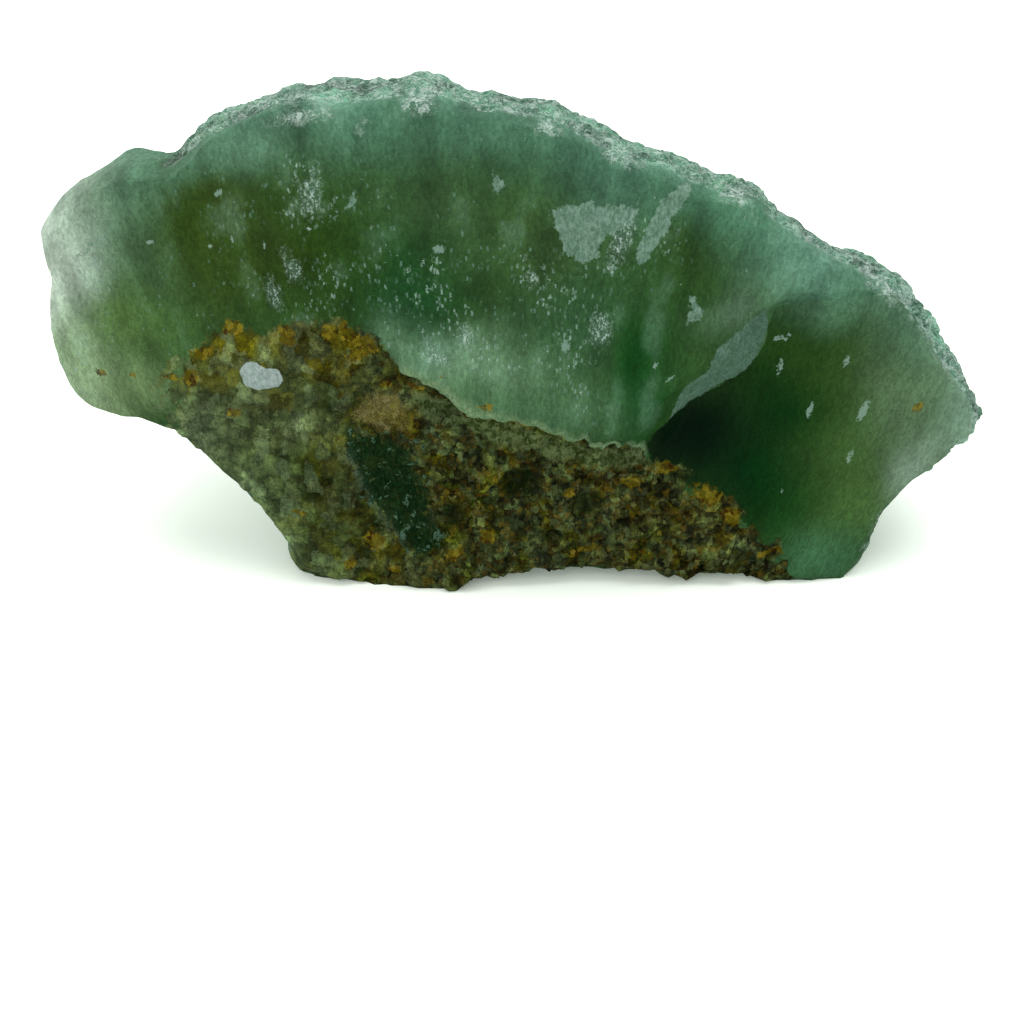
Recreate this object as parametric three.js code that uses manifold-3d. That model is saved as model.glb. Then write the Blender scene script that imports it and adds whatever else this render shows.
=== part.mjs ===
// A broken piece of botryoidal fluorite, standing on its base.
//
// Millimetres, +Z up. X runs along the piece, the broken face looks along -Y, and the origin is
// on the table under the middle of the piece.
//
// The stone grew as a fan of fibres round a granular, iron-stained heart at the bottom of the
// front. Its top and back are the growth surface, covered with grape-like lumps. The front is
// broken in three faces: the big upper face, which overhangs the granular face below it in a
// lip, and a scoop on the right that lies deeper behind a slanting step.
//
// The stone is written as one function that is negative inside it and positive outside. A box of
// triangles is drawn onto that surface and evened out, and its base is then sawn flat.

import * as THREE from "three";
import { mergeVertices } from "three/addons/utils/BufferGeometryUtils.js";
import { ImprovedNoise } from "three/addons/math/ImprovedNoise.js";
import Module from "manifold-3d";

// Driving dimensions

const FRONT_LEAN = 0.46; // how far the upper face goes back for each millimetre it rises
const FRONT_AT_LIP = -25; // y of the upper face at the height of the lip
const LIP_HEIGHT = 23.5; // z of the lip in the middle
const FRONT_CROWN = 0.0038; // curve of the upper face, so that both ends lie further back
const HEART_FRONT = -25.6; // y of the granular face at the table
const HEART_LEAN = 0.18;
const HEART_CROWN = 0.0015;
const HEART_HEIGHT = 6; // z of the point that the fibres run out from
const SCOOP_FRONT = -25.2; // y of the scoop at the table
const SCOOP_LEAN = 0.33;
const STEP_SLANT = 0.95; // how far the step's face leans for each millimetre of its depth
const RIM_BACK = 4; // the outline lies this far behind the front face
const FOOT_RIM = -20; // the outline's y at the foot
const BACK_CURVE = 0.021; // how quickly the growth surface closes towards the back
const FRONT_ROUND = 0.05; // rounding of the rim towards the front face
const LUMP_SIZE = 13; // spacing of the grape-like lumps
const LUMP_HEIGHT = 3.4;
const LOBE_SIZE = 29; // spacing of the wide lobes that carry them
const LOBE_HEIGHT = 3.5;
const ROUGHNESS = 0.65; // of the broken faces
const FOOT_DEPTH = 0.9; // how far the raw feet reach below the saw cut
const FOOT_LIFT = 1.7; // how far the underside lies higher between the feet
const SQUARES = [46, 17, 23]; // of the starting box, along X, Y and Z
const PROBE = 0.1; // step for measuring a slope
const CREASE = 0.8; // neighbours whose normals agree less than this lie across a crease

// The outline of the piece, seen from the front, as [x, z]. It runs on below the table at the
// foot, where the saw cut ends it.
const OUTLINE = [
  [-28, -30], [-28.3, -4], [-28.8, 3], [-29.4, 7.2], [-32.5, 11.4], [-36.8, 15.6], [-41.3, 18.9],
  [-45.5, 19.8], [-48.5, 19.7], [-52, 19.9], [-54.8, 22.3], [-56.4, 25.5], [-56.9, 30],
  [-56.5, 34], [-57.7, 37.5], [-56, 40.8], [-51.8, 43.9], [-48.2, 46], [-45, 47],
  [-42, 47.2], [-37.6, 50.3], [-34.5, 52.3], [-30.4, 54.1], [-24.5, 56], [-17, 56.1],
  [-10.8, 57.3], [-5, 55.8], [0, 55.3], [4, 55.1], [8.5, 52.7], [12.7, 50.9], [20, 48.2],
  [25, 46.3], [29.6, 45.3], [31, 42.9], [34.7, 40.7], [41.2, 36.8], [45.7, 34.6], [49, 32.1],
  [53, 26.5], [55.9, 22], [58.2, 18.4], [57.3, 16.2], [54, 14.7], [48.9, 11.9], [45.6, 8.3],
  [44.2, 3.5], [43.2, -3], [42.4, -30],
];

// The lip: the lower edge of the upper face, as [x, z] from left to right. Left of the middle
// it is the edge of the granular face, which is almost level with the upper face there.
const LIP = [
  [-60, 26], [-49, 26.4], [-43, 26.4], [-36.5, 30], [-32, 32.6], [-20, 33], [-14.8, 31.5],
  [-13, 27.8], [-9.6, 26.4], [-3.7, 24.2], [1, 22.8], [4, 21.8], [10.3, 19.9], [15.5, 19.4],
  [22, 19.4],
];

// The edge of the scoop where it is deepest, as [x, z]: up the granular face, up the step, over
// the top and out to the rim on the right.
const SCOOP_EDGE = [
  [35, -30], [33, 0], [32, 3], [30.5, 5.9], [27.6, 9], [25.4, 11.6], [21.7, 12.5], [19.5, 13.8],
  [18.8, 16], [19.8, 19], [21.8, 22], [24, 23.8], [26.6, 25.2], [28.6, 26.8], [29.9, 29], [30.6, 31.6],
  [31.3, 33.2], [34, 34], [38, 34.2], [44, 34.6], [52, 36], [70, 38],
];

// The feet that the stone rests on, as [x, y, radius].
const FEET = [
  [-15, -20, 9],
  [38, -20.5, 7.5],
  [5, 10, 9.5],
];

// Small hollows broken out of the front, as [x, z, radius, depth].
const HOLLOWS = [
  [-15.6, 9.5, 8, 2],
  [-24.5, 22, 5, 1.6],
  [-6, 17, 5, 1.6],
  [2, 12, 6, 1.6],
  [12.5, 10.5, 5, 1.2],
  [-40, 23, 8, 1],
  [7.5, 46, 8, 1],
  [14, 33.5, 8, 1.2],
  [-34, 41, 9, 0.8],
];

// Single bosses that stand out, as [x, y, z, radius].
const BOSSES = [
  [-10.4, -6, 54, 3.2],
  [-29.9, -15.8, 25.6, 2.2],
];

const noise = new ImprovedNoise();

// Smooth noise of about one unit, with features about `size` millimetres across.
function ripple(x, y, z, size) {
  return 1.4 * noise.noise(x / size + 3.7, y / size + 8.1, z / size + 5.3);
}

// Distance from a point to a line of points. It is negative inside a closed line, and to the
// left of an open one.
function distanceTo(points, x, z, closed) {
  let nearest = Infinity;
  let side = 1;
  let inside = false;
  const last = closed ? points.length : points.length - 1;
  for (let i = 0; i < last; i++) {
    const [ax, az] = points[i];
    const [bx, bz] = points[(i + 1) % points.length];
    const ex = bx - ax;
    const ez = bz - az;
    const t = Math.min(1, Math.max(0, ((x - ax) * ex + (z - az) * ez) / (ex * ex + ez * ez)));
    const dx = x - ax - t * ex;
    const dz = z - az - t * ez;
    const distance = dx * dx + dz * dz;
    if (distance < nearest - 1e-9) {
      nearest = distance;
      side = ex * (z - az) > ez * (x - ax) ? -1 : 1;
    }
    if (az > z !== bz > z && x < ax + ((z - az) / ez) * ex) inside = !inside;
  }
  return Math.sqrt(nearest) * (closed ? (inside ? -1 : 1) : side);
}

function curveThrough(points, count) {
  const curve = new THREE.SplineCurve(points.map(([x, z]) => new THREE.Vector2(x, z)));
  return curve.getSpacedPoints(count).map((p) => [p.x, p.y]);
}

const outline = curveThrough(OUTLINE, 130);
const scoopEdge = curveThrough(SCOOP_EDGE, 60);

// Height of the lip over the table at x.
function lipHeight(x) {
  const next = LIP.findIndex((p) => p[0] > x);
  if (next < 0) return LIP.at(-1)[1];
  if (next === 0) return LIP[0][1];
  const [ax, az] = LIP[next - 1];
  const [bx, bz] = LIP[next];
  return THREE.MathUtils.mapLinear(x, ax, bx, az, bz);
}

// The fibres run out from the heart, so a ridge follows a ray from it.
function fibres(x, z) {
  const angle = Math.atan2(z - HEART_HEIGHT, x * 0.8);
  const reach = Math.hypot(x, z - HEART_HEIGHT);
  const broad = noise.noise(angle * 9, reach / 22, 2.5);
  return 1.4 * broad + 0.7 * noise.noise(angle * 21, reach / 14, 7.5);
}

const upperFace = (x, z) => FRONT_AT_LIP + FRONT_LEAN * (z - LIP_HEIGHT) + FRONT_CROWN * x * x;
const heartFace = (x, z) => HEART_FRONT + HEART_LEAN * z + HEART_CROWN * x * x;
const scoopFace = (z) => SCOOP_FRONT + SCOOP_LEAN * z;

// Grape-like lumps: round caps that meet in creases, one about each point of a jittered grid.
// A full cap rises to a little under half of `height`, and the creases lie below zero.
function lumps(x, y, z, size, height) {
  const cell = [x, y, z].map((v) => Math.floor(v / size));
  let nearest = Infinity;
  for (let i = -1; i <= 1; i++)
    for (let j = -1; j <= 1; j++)
      for (let k = -1; k <= 1; k++) {
        const [a, b, c] = [cell[0] + i, cell[1] + j, cell[2] + k];
        const jitter = (n) => 0.5 + 0.75 * noise.noise(a * 7.31 + n, b * 5.17 + n * 2, c * 3.73 - n);
        const dx = x / size - a - jitter(0.4);
        const dy = y / size - b - jitter(9.6);
        const dz = z / size - c - jitter(21.3);
        nearest = Math.min(nearest, dx * dx + dy * dy + dz * dz);
      }
  return height * (0.45 - 1.6 * nearest);
}

// The whole fan of fibres before it broke: its top and back are the growth surface.
function growth(x, y, z) {
  const rim = Math.max(upperFace(x, z) + RIM_BACK, FOOT_RIM);
  const behind = y - rim;
  const curve = behind > 0 ? BACK_CURVE : FRONT_ROUND;
  const plain = distanceTo(outline, x, z, true) + curve * behind * behind;
  const aboveFoot = THREE.MathUtils.smoothstep(z, 0, 9);
  const small = THREE.MathUtils.smoothstep(behind, 4, 15) * aboveFoot;
  if (small === 0) return plain - 0.35 * ripple(x, y, z, 3.5);
  const wide = THREE.MathUtils.smoothstep(behind, 13, 28) * aboveFoot;
  const lumpy = small * lumps(x, y, z, LUMP_SIZE, LUMP_HEIGHT);
  const lobed = wide > 0 ? wide * lumps(x, y, z, LOBE_SIZE, LOBE_HEIGHT) : 0;
  return plain - lumpy - lobed - 0.35 * ripple(x, y, z, 3.5);
}

// The broken front. Each face takes away what stands before it, and the heart and the scoop
// only do so on their own side of the lip and of the scoop's edge.
function front(x, y, z) {
  const rough = ROUGHNESS * (ripple(x, y, z, 11) + 0.4 * ripple(x, y, z, 4));
  let hollow = 0;
  for (const [cx, cz, radius, depth] of HOLLOWS) {
    const reach = 1 - ((x - cx) ** 2 + (z - cz) ** 2) / (radius * radius);
    if (reach > 0) hollow = Math.max(hollow, depth * reach);
  }
  const grain = rough + hollow + 0.45 * fibres(x, z);
  const upper = upperFace(x, z) + grain - y;
  const heart = heartFace(x, z) + rough + 0.5 * ripple(x, y, z, 5) + hollow - y;
  const scoop = scoopFace(z) + 0.6 * rough + 0.25 * fibres(x, z) - y;
  const underLip = lipHeight(x) + 0.5 * ripple(x, 0, z, 3) - z;
  const beyondStep = distanceTo(scoopEdge, x, z, false) + 0.4 * ripple(x, y, z, 3);
  const inScoop = beyondStep + STEP_SLANT * Math.max(scoop, 0);
  return Math.max(upper * 0.9, Math.min(heart, underLip), Math.min(scoop * 0.92, inScoop));
}

// The underside, raised between its three feet, most of all under the middle of the front.
function underside(x, y, z) {
  let off = Infinity;
  for (const [fx, fy, radius] of FEET) off = Math.min(off, Math.hypot(x - fx, y - fy) / radius);
  const arch = 1.3 * Math.exp(-(((x - 10) / 9) ** 2)) * THREE.MathUtils.smoothstep(-y, -6, 14);
  const lift = arch + FOOT_LIFT * THREE.MathUtils.smoothstep(off, 0.75, 1.35);
  return lift + 0.45 * ripple(x, y, 0, 7) - FOOT_DEPTH - z;
}

function stone({ x, y, z }) {
  let f = Math.max(growth(x, y, z), front(x, y, z), underside(x, y, z));
  for (const [bx, by, bz, radius] of BOSSES)
    f = Math.min(f, Math.hypot(x - bx, y - by, z - bz) - radius);
  return f;
}

// Slope of the stone's function at p, where it is f.
function slopeAt(p, f, out) {
  const q = p.clone();
  for (const axis of ["x", "y", "z"]) {
    q[axis] = p[axis] + PROBE;
    out[axis] = (stone(q) - f) / PROBE;
    q[axis] = p[axis];
  }
  return out;
}

// Moves a point onto the surface, straight up or down the slope.
const gradient = new THREE.Vector3();
function settle(p, rounds) {
  for (let i = 0; i < rounds; i++) {
    const f = stone(p);
    slopeAt(p, f, gradient);
    const move = THREE.MathUtils.clamp(f / Math.max(gradient.lengthSq(), 0.25), -2, 2);
    p.addScaledVector(gradient, -move);
  }
}

// A box of squares whose points are sent out from the inside of the stone until they meet its
// surface.
function boxOnStone() {
  const box = new THREE.BoxGeometry(2, 2, 2, ...SQUARES);
  box.deleteAttribute("normal");
  box.deleteAttribute("uv");
  const geometry = mergeVertices(box, 1e-4);
  const from = new THREE.Vector3();
  const to = new THREE.Vector3();
  const p = new THREE.Vector3();
  const points = [];
  for (let i = 0; i < geometry.attributes.position.count; i++) {
    const { x, y, z } = p.fromBufferAttribute(geometry.attributes.position, i);
    const middle = 28 - 6.5 * x;
    const half = 28 - 11 * x * x;
    from.set(50 * x, -5 + 3 * y, middle + 0.4 * half * z);
    to.set(66 * x, -5 + 45 * y, middle + 1.7 * half * z);
    let [low, high] = [0, 1];
    for (let n = 0; n < 16; n++) {
      const share = (low + high) / 2;
      if (stone(p.lerpVectors(from, to, share)) < 0) low = share;
      else high = share;
    }
    points.push(p.clone());
  }
  return { geometry, points };
}

// Evens out the triangles: each point moves towards the middle of its neighbours and back onto
// the surface. At the end, points beside a crease are drawn onto it.
function evenOut({ geometry, points }, rounds) {
  const neighbours = points.map(() => new Set());
  const index = geometry.index.array;
  for (let i = 0; i < index.length; i += 3)
    for (let k = 0; k < 3; k++) {
      neighbours[index[i + k]].add(index[i + ((k + 1) % 3)]);
      neighbours[index[i + k]].add(index[i + ((k + 2) % 3)]);
    }
  const middle = new THREE.Vector3();
  for (let n = 0; n < rounds; n++) {
    const moved = points.map((p, i) => {
      middle.set(0, 0, 0);
      for (const j of neighbours[i]) middle.add(points[j]);
      return p.clone().lerp(middle.divideScalar(neighbours[i].size), 0.6);
    });
    moved.forEach((p, i) => {
      settle(p, n === rounds - 1 ? 5 : 1);
      points[i].copy(p);
    });
  }
  const normals = points.map((p) => slopeAt(p, stone(p), new THREE.Vector3()).normalize());
  points.forEach((p, i) => {
    const q = p.clone();
    const across = [...neighbours[i]].filter((j) => normals[j].dot(normals[i]) < CREASE);
    for (let n = 0; n < 8 && across.length > 0; n++)
      for (const j of [i, ...across])
        q.addScaledVector(normals[j], -0.5 * normals[j].dot(middle.subVectors(q, points[j])));
    q.sub(p).clampLength(0, 0.9).add(p);
    geometry.attributes.position.setXYZ(i, q.x, q.y, q.z);
  });
  return geometry;
}

// Turns a closed geometry into a solid that can be cut.
const wasm = await Module();
wasm.setup();
function solidOf(geometry) {
  const bare = geometry.clone();
  bare.deleteAttribute("normal");
  bare.deleteAttribute("uv");
  const merged = mergeVertices(bare, 1e-4);
  return new wasm.Manifold(
    new wasm.Mesh({
      numProp: 3,
      vertProperties: new Float32Array(merged.attributes.position.array),
      triVerts: new Uint32Array(merged.index.array),
    }),
  );
}

function geometryOf(solid) {
  const mesh = solid.getMesh();
  return new THREE.BufferGeometry()
    .setAttribute("position", new THREE.BufferAttribute(mesh.vertProperties, 3))
    .setIndex(new THREE.BufferAttribute(mesh.triVerts, 1));
}

// The stone, sawn flat where it stands on the table.
const raw = solidOf(evenOut(boxOnStone(), 14));
const table = solidOf(new THREE.BoxGeometry(200, 200, 40).translate(0, 0, -20));
const body = geometryOf(raw.subtract(table));

// The middle of the piece goes to the origin.
body.computeBoundingBox();
const centre = body.boundingBox.getCenter(new THREE.Vector3());
body.translate(-centre.x, -centre.y, 0);
body.computeVertexNormals();

const fluorite = new THREE.Mesh(
  body,
  new THREE.MeshStandardMaterial({ color: 0x4f7f5f, roughness: 0.45, metalness: 0 }),
);
fluorite.name = "fluorite";

const specimen = new THREE.Group();
specimen.add(fluorite);

export default specimen;
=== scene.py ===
# %% [markdown]
# # Botryoidal fluorite
#
# A broken piece of green fluorite stands on a pale table. It grew as a fan of fibres round a
# granular, iron-stained heart, and its top and back carry a crust of small crystals. The whole
# thing is one stone, so it is one mesh here. The CAD model gives its form, and this lesson adds
# what is too fine for it: crystals, grains, chips and colour.

import math

import bmesh
import bpy
import numpy as np
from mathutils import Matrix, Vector, kdtree, noise


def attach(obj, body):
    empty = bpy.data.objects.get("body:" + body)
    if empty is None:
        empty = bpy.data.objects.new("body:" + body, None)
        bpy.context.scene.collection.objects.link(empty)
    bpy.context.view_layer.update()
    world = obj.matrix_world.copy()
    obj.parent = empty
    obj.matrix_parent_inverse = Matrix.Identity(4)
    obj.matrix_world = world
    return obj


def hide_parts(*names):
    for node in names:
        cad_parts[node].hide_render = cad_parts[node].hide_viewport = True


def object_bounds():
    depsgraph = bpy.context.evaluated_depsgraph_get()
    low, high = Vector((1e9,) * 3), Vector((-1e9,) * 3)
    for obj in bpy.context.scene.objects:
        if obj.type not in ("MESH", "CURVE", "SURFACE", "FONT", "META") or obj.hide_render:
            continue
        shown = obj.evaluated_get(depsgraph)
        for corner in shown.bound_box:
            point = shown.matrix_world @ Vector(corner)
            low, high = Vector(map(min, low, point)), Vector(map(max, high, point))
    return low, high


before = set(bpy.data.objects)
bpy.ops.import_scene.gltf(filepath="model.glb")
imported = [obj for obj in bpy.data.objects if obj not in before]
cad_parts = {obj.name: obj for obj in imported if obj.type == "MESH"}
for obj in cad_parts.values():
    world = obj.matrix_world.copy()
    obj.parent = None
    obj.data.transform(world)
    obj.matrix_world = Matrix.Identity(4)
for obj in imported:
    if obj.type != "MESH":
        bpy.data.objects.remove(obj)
cad_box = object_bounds()
print("CAD box in metres:", cad_box)

# %% [markdown]
# All sizes below are in millimetres, in the drawing frame of the CAD model's source: its zero lies
# a little beside the middle of the stone. One value turns them into metres. Blender's noise takes
# its seed from the clock unless it is given one, so it gets one here, and every run makes the same
# stone.

# %% Units and drawing frame
MM = 0.001
DRAWING_ZERO = (0.282, -1.903)
NOISE_SEED = 4
noise.seed_set(NOISE_SEED)


def drawing(points):
    """Metres in the part's frame to millimetres in the drawing frame."""
    return np.asarray(points) / MM + (*DRAWING_ZERO, 0.0)


# %% [markdown]
# The camera stands in front of the stone and looks down at it. Its height, distance and lens were
# fitted to the photograph. The lens is written in pixels, because that is what a fit gives.

# %% Camera
CAMERA_AT = (0, -208, 127)
CAMERA_PITCH = 32.3
FOCAL_PIXELS = 1800
PHOTO_PIXELS = 1024
SENSOR = 36

camera_data = bpy.data.cameras.new("camera")
camera_data.sensor_width = SENSOR
camera_data.lens = FOCAL_PIXELS / PHOTO_PIXELS * SENSOR
camera = bpy.data.objects.new("camera", camera_data)
camera.location = (
    (CAMERA_AT[0] - DRAWING_ZERO[0]) * MM,
    (CAMERA_AT[1] - DRAWING_ZERO[1]) * MM,
    CAMERA_AT[2] * MM,
)
camera.rotation_euler = (math.radians(90 - CAMERA_PITCH), 0, 0)
bpy.context.collection.objects.link(camera)
bpy.context.scene.camera = camera
print("lens:", round(camera_data.lens, 1), "mm")

# %% [markdown]
# Colours are written as sRGB hex values, as a colour picker shows them. Blender's shaders work
# with linear light, so one function converts them.


# %% Colours
def linear(hex_colour):
    """An sRGB hex colour as linear red, green and blue."""
    channels = [int(hex_colour[i : i + 2], 16) / 255 for i in (1, 3, 5)]
    return [c / 12.92 if c <= 0.04045 else ((c + 0.055) / 1.055) ** 2.4 for c in channels]


# %% [markdown]
# A small helper adds one shader node with its settings and links. The world and the stone's
# material below are built with it, so that a pattern reads as a short list of steps.


# %% Node helper
def add_node(tree, kind, inputs=(), **settings):
    """Adds a shader node. Inputs are a list in order, or a dict. Each is a value to set, a socket
    to link, or a node, whose first output is then linked."""
    node = tree.nodes.new("ShaderNode" + kind)
    for name, value in settings.items():
        setattr(node, name, value)
    for name, value in inputs.items() if isinstance(inputs, dict) else enumerate(inputs):
        if isinstance(value, bpy.types.Node):
            value = next(output for output in value.outputs if output.enabled)
        if isinstance(value, bpy.types.NodeSocket):
            tree.links.new(value, node.inputs[name])
        else:
            node.inputs[name].default_value = value
    return node


# %% [markdown]
# The table is plain and almost white. The light is a wide soft box overhead and a smaller one in
# front. The room gives most of the light. The table also glows a very little: this is painted
# light, which makes the shadows faint and slightly green, as they are under a clear green stone.
# What the camera sees behind the table is pure white.

# %% Table, lights and background
TABLE_SIZE = 6
TABLE_GLOW = 0.12
ROOM_LIGHT = 0.9

table_mesh = bpy.data.meshes.new("table")
table_bm = bmesh.new()
bmesh.ops.create_grid(table_bm, x_segments=1, y_segments=1, size=TABLE_SIZE / 2)
table_bm.to_mesh(table_mesh)
table_bm.free()
table = bpy.data.objects.new("table", table_mesh)
bpy.context.collection.objects.link(table)
table_paint = bpy.data.materials.new("white matt table")
table_paint.use_nodes = True
table_shader = table_paint.node_tree.nodes["Principled BSDF"]
table_shader.inputs["Base Color"].default_value = (*linear("#f0f7ee"), 1)
table_shader.inputs["Roughness"].default_value = 0.9
table_shader.inputs["Specular IOR Level"].default_value = 0.1
# Painted light: the table's faint green glow lightens and tints the stone's shadow on it.
table_shader.inputs["Emission Color"].default_value = (*linear("#e8fbe8"), 1)
table_shader.inputs["Emission Strength"].default_value = TABLE_GLOW
table_mesh.materials.append(table_paint)

SOFT_BOXES = {
    "overhead": ((0, 0.25, 0.9), 1.2, 12.0),
    "front": ((-0.3, -1.0, 0.8), 0.8, 5.0),
}
for name, (place, size, watts) in SOFT_BOXES.items():
    light_data = bpy.data.lights.new(name, "AREA")
    light_data.shape = "SQUARE"
    light_data.size = size
    light_data.energy = watts
    light = bpy.data.objects.new(name, light_data)
    light.location = place
    aim = Vector((0, 0, 0.02)) - Vector(place)
    light.rotation_euler = aim.to_track_quat("-Z", "Y").to_euler()
    bpy.context.collection.objects.link(light)

world = bpy.data.worlds.new("studio")
world.use_nodes = True
sky = world.node_tree
sky.nodes.clear()
seen = add_node(sky, "LightPath").outputs["Is Camera Ray"]
white = add_node(sky, "Background", {"Color": (1, 1, 1, 1), "Strength": 1.0})
room = add_node(sky, "Background", {"Color": (1, 1, 1, 1), "Strength": ROOM_LIGHT})
both = add_node(sky, "MixShader", {"Fac": seen})
sky.links.new(room.outputs[0], both.inputs[1])
sky.links.new(white.outputs[0], both.inputs[2])
add_node(sky, "OutputWorld", {"Surface": both.outputs[0]})
bpy.context.scene.world = world
bpy.context.scene.view_settings.view_transform = "Standard"

# %% [markdown]
# The stone starts as a copy of the CAD solid, whose triangles are 2 mm wide. Each is cut into
# sixteen. Smoothing then takes the flat triangles away. Plain smoothing also shrinks a shape, so
# each inward step is followed by a slightly larger outward one. The feet have to stay flat, so
# they are left alone.

# %% Stone: finer mesh
SMOOTH_ROUNDS = 7
SMOOTH_STEPS = (0.5, -0.52)

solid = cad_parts["fluorite"]
bm = bmesh.new()
bm.from_mesh(solid.data)
bmesh.ops.remove_doubles(bm, verts=bm.verts, dist=0.005 * MM)
bmesh.ops.subdivide_edges(bm, edges=bm.edges, cuts=3, use_grid_fill=True)
bmesh.ops.triangulate(bm, faces=[face for face in bm.faces if len(face.verts) > 3])
free = [vert for vert in bm.verts if vert.co.z > 0.02 * MM]
for _ in range(SMOOTH_ROUNDS):
    for step in SMOOTH_STEPS:
        bmesh.ops.smooth_vert(
            bm, verts=free, factor=step, use_axis_x=True, use_axis_y=True, use_axis_z=True
        )
bm.normal_update()
bm.verts.index_update()
print("stone:", len(bm.verts), "vertices,", len(bm.faces), "triangles")

# %% [markdown]
# Next, each point learns which part of the stone it lies on. The three broken faces are smooth
# sheets in the CAD source, and the same few numbers give them here: the upper face, the granular
# heart below the lip, and the scoop on the right. Whatever lies behind its sheet, or does not face
# the front at all, is growth surface. The lip overhangs the heart. Its edge broke in small waves,
# which are finer than the solid's triangles, so the edge is moved down here, by a little more in
# some places than in others.

# %% Stone: its faces
LIP_LINE = [
    (-62, 22), (-46, 24), (-42.5, 26.3), (-38, 28.9), (-34, 32.4), (-30, 31.8), (-25.5, 33.4),
    (-20, 33.8), (-15.6, 32.3), (-13.4, 28.6), (-9.6, 26.4), (-3.7, 24.2), (1, 22.8), (4, 21.8),
    (10.3, 19.9), (15.5, 19.2), (16.6, 17.6), (19.2, 15.5), (22.9, 13.6), (27.2, 11.2),
    (29.1, 8.9), (32.3, 6.5), (34.4, 3.5), (36, -2),
]  # fmt: skip
LIP_SAG = 0.9
HEART_LEFT = -42
SCOOP = [
    (35, -9), (33, 0), (32, 3), (30.5, 6), (27.6, 9), (25.4, 11.6), (21.7, 12.5), (19.5, 13.8),
    (16.8, 16.4), (16, 18.6), (17.2, 20.4), (19.1, 21.7), (21.5, 23), (24.6, 24.4), (26.8, 25.4),
    (28.7, 26.8), (29.9, 29), (30.6, 31.6), (31.3, 33.2), (34, 34), (44, 34.6), (52, 36), (75, 38),
    (75, -9),
]  # fmt: skip

points = drawing([vert.co[:] for vert in bm.verts])
normals = np.array([vert.normal[:] for vert in bm.verts])
facing = normals @ np.array([0, -0.91, 0.41])


def ramp(value, low, high):
    """0 below low, 1 above high, and a smooth rise between them. It works downwards too."""
    share = np.clip((value - low) / (high - low), 0, 1)
    return share * share * (3 - 2 * share)


def wave(x):
    """How the lip's edge goes up and down along its length: long waves and short ones."""
    return noise.noise(Vector((x / 1.9, 4, 0))) + 0.6 * noise.noise(Vector((x / 0.9, 9, 0)))


px, py, pz = points.T
lip_line = np.interp(px, *np.array(LIP_LINE, float).T)
lip_sag = LIP_SAG * (1 + 1.2 * np.array([wave(x) for x in px]))
overhang = ramp(-21.5 + 0.18 * (pz - 22) - py, 0.3, 1.8)
near_lip = ramp(lip_line + 4 - pz, 0, 3.4)
sag = lip_sag * overhang * near_lip * ramp(px, -10, -4) * ramp(px, 18, 15.5)
for vert in bm.verts:
    vert.co.z -= sag[vert.index] * MM
points[:, 2] -= sag
px, py, pz = points.T


def outlines(shapes):
    """Millimetres from the edge of the nearest outline on the front, above 0 inside it."""
    value = np.full(len(points), -99.0)
    for corners in shapes:
        near = np.full(len(points), 99.0)
        inside = np.zeros(len(points), bool)
        for (x0, z0), (x1, z1) in zip(corners, corners[1:] + corners[:1]):
            dx, dz = x1 - x0, z1 - z0
            t = np.clip(((px - x0) * dx + (pz - z0) * dz) / (dx * dx + dz * dz), 0, 1)
            near = np.minimum(near, np.hypot(px - x0 - t * dx, pz - z0 - t * dz))
            if dz:
                inside ^= ((z0 > pz) != (z1 > pz)) & (px < x0 + (pz - z0) / dz * dx)
        value = np.maximum(value, np.where(inside, near, -near))
    return value


def blots(entries):
    """1 at the middle of an ellipse, 0 at its edge. Each has a middle, half-widths and a turn."""
    value = np.full(len(points), -3.0)
    for x, z, long, short, turn in entries:
        c, s = math.cos(math.radians(turn)), math.sin(math.radians(turn))
        along = ((px - x) * c + (pz - z) * s) / long
        across = ((pz - z) * c - (px - x) * s) / short
        value = np.maximum(value, 1 - np.hypot(along, across))
    return value


lip_height = lip_line - lip_sag * ramp(px, -10, -4)
heart = np.minimum(lip_height - pz, 0.35 * (px - HEART_LEFT))
scoop = outlines([SCOOP])
upper_face = -25 + 0.46 * (pz - 23.5) + 0.0038 * px**2
heart_face = -25.6 + 0.18 * pz + 0.0015 * px**2
scoop_face = -25.2 + 0.33 * pz
sheet = np.where(heart > 0, heart_face, np.where(scoop > 0, scoop_face, upper_face))
behind = py - sheet
middle = ramp(((px - 4) / 43) ** 2 + ((pz - 20) / 19) ** 2, 1.1, 0.9)
rim_growth = np.maximum(ramp(behind, 3.2, 4.8), ramp(behind, 1.4, 2.8) * ramp(facing, 0.8, 0.62))
growth = rim_growth * (1 - middle)
by_heart = ramp(heart, -1, 1) * ramp(py, -6, -11)
turned_away = ramp(facing, 0.3 - 0.6 * by_heart, -0.6 * by_heart) * ramp(behind, 0.8, 2.4)
growth = np.maximum(growth, turned_away)
growth *= ramp(normals[:, 2], -0.97, -0.85) * (1 - ramp(pz, 4, 2) * ramp(py, -6, -11))
growth *= 1 - ramp(px, -38, -46) * ramp(facing, -0.35, 0.05)
on_front = facing > np.where(by_heart > 0.5, -0.35, 0.1)
print("growth surface:", round(float(growth.mean()), 3), "of the points")

# %% [markdown]
# The distance of each point from the growth surface matters for the colour: the stone is cloudy
# sea green just under its crust, olive further in and clear deep green near the heart.

# %% Stone: depth under the crust
crust = np.flatnonzero((growth > 0.6) & (normals[:, 2] > -0.5))
tree = kdtree.KDTree(len(crust))
for number, index in enumerate(crust):
    tree.insert(Vector(points[index]), number)
tree.balance()
under_crust = np.array([tree.find(Vector(p))[2] for p in points])
print("deepest point of the broken faces:", round(float(under_crust.max()), 1), "mm from the crust")
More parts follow.
